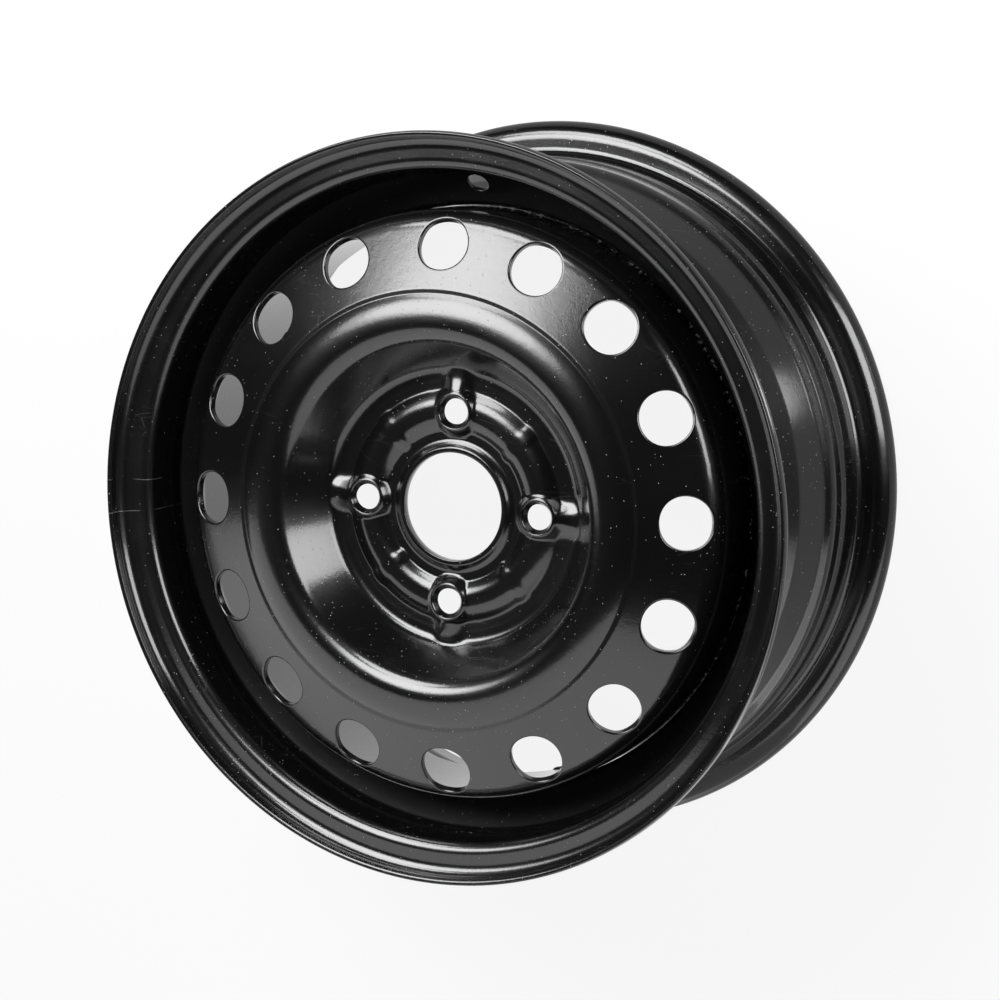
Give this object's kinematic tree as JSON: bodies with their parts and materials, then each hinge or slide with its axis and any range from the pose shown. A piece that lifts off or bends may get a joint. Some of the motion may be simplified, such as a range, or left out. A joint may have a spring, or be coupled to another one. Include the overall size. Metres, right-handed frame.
{
  "type": "steel wheel rim",
  "caption": "Pressed steel road wheel: a drop-centre rim with rolled flanges, and a welded disc with round vent holes, bolt holes with raised seats and an open centre bore.",
  "frame": {"origin": "on the wheel's axis, halfway between the two rim flanges, at the centre of the bounding box", "axes": "+Z along the wheel's axis towards its outboard face, +X through the centre of one bolt hole"},
  "size_m": [0.3898, 0.3898, 0.166],
  "materials": {
    "rim_paint": "gloss black paint on rolled steel sheet",
    "disc_paint": "gloss black paint on pressed steel sheet",
    "weld_paint": "black paint over a weld run"
  },
  "bodies": {
    "root": {"rim": "rim_paint", "disc": "disc_paint", "weld_bead_1": "weld_paint", "weld_bead_2": "weld_paint", "weld_bead_3": "weld_paint", "weld_bead_4": "weld_paint", "weld_bead_5": "weld_paint", "weld_bead_6": "weld_paint", "weld_bead_7": "weld_paint", "weld_bead_8": "weld_paint"}
  },
  "joints": []
}
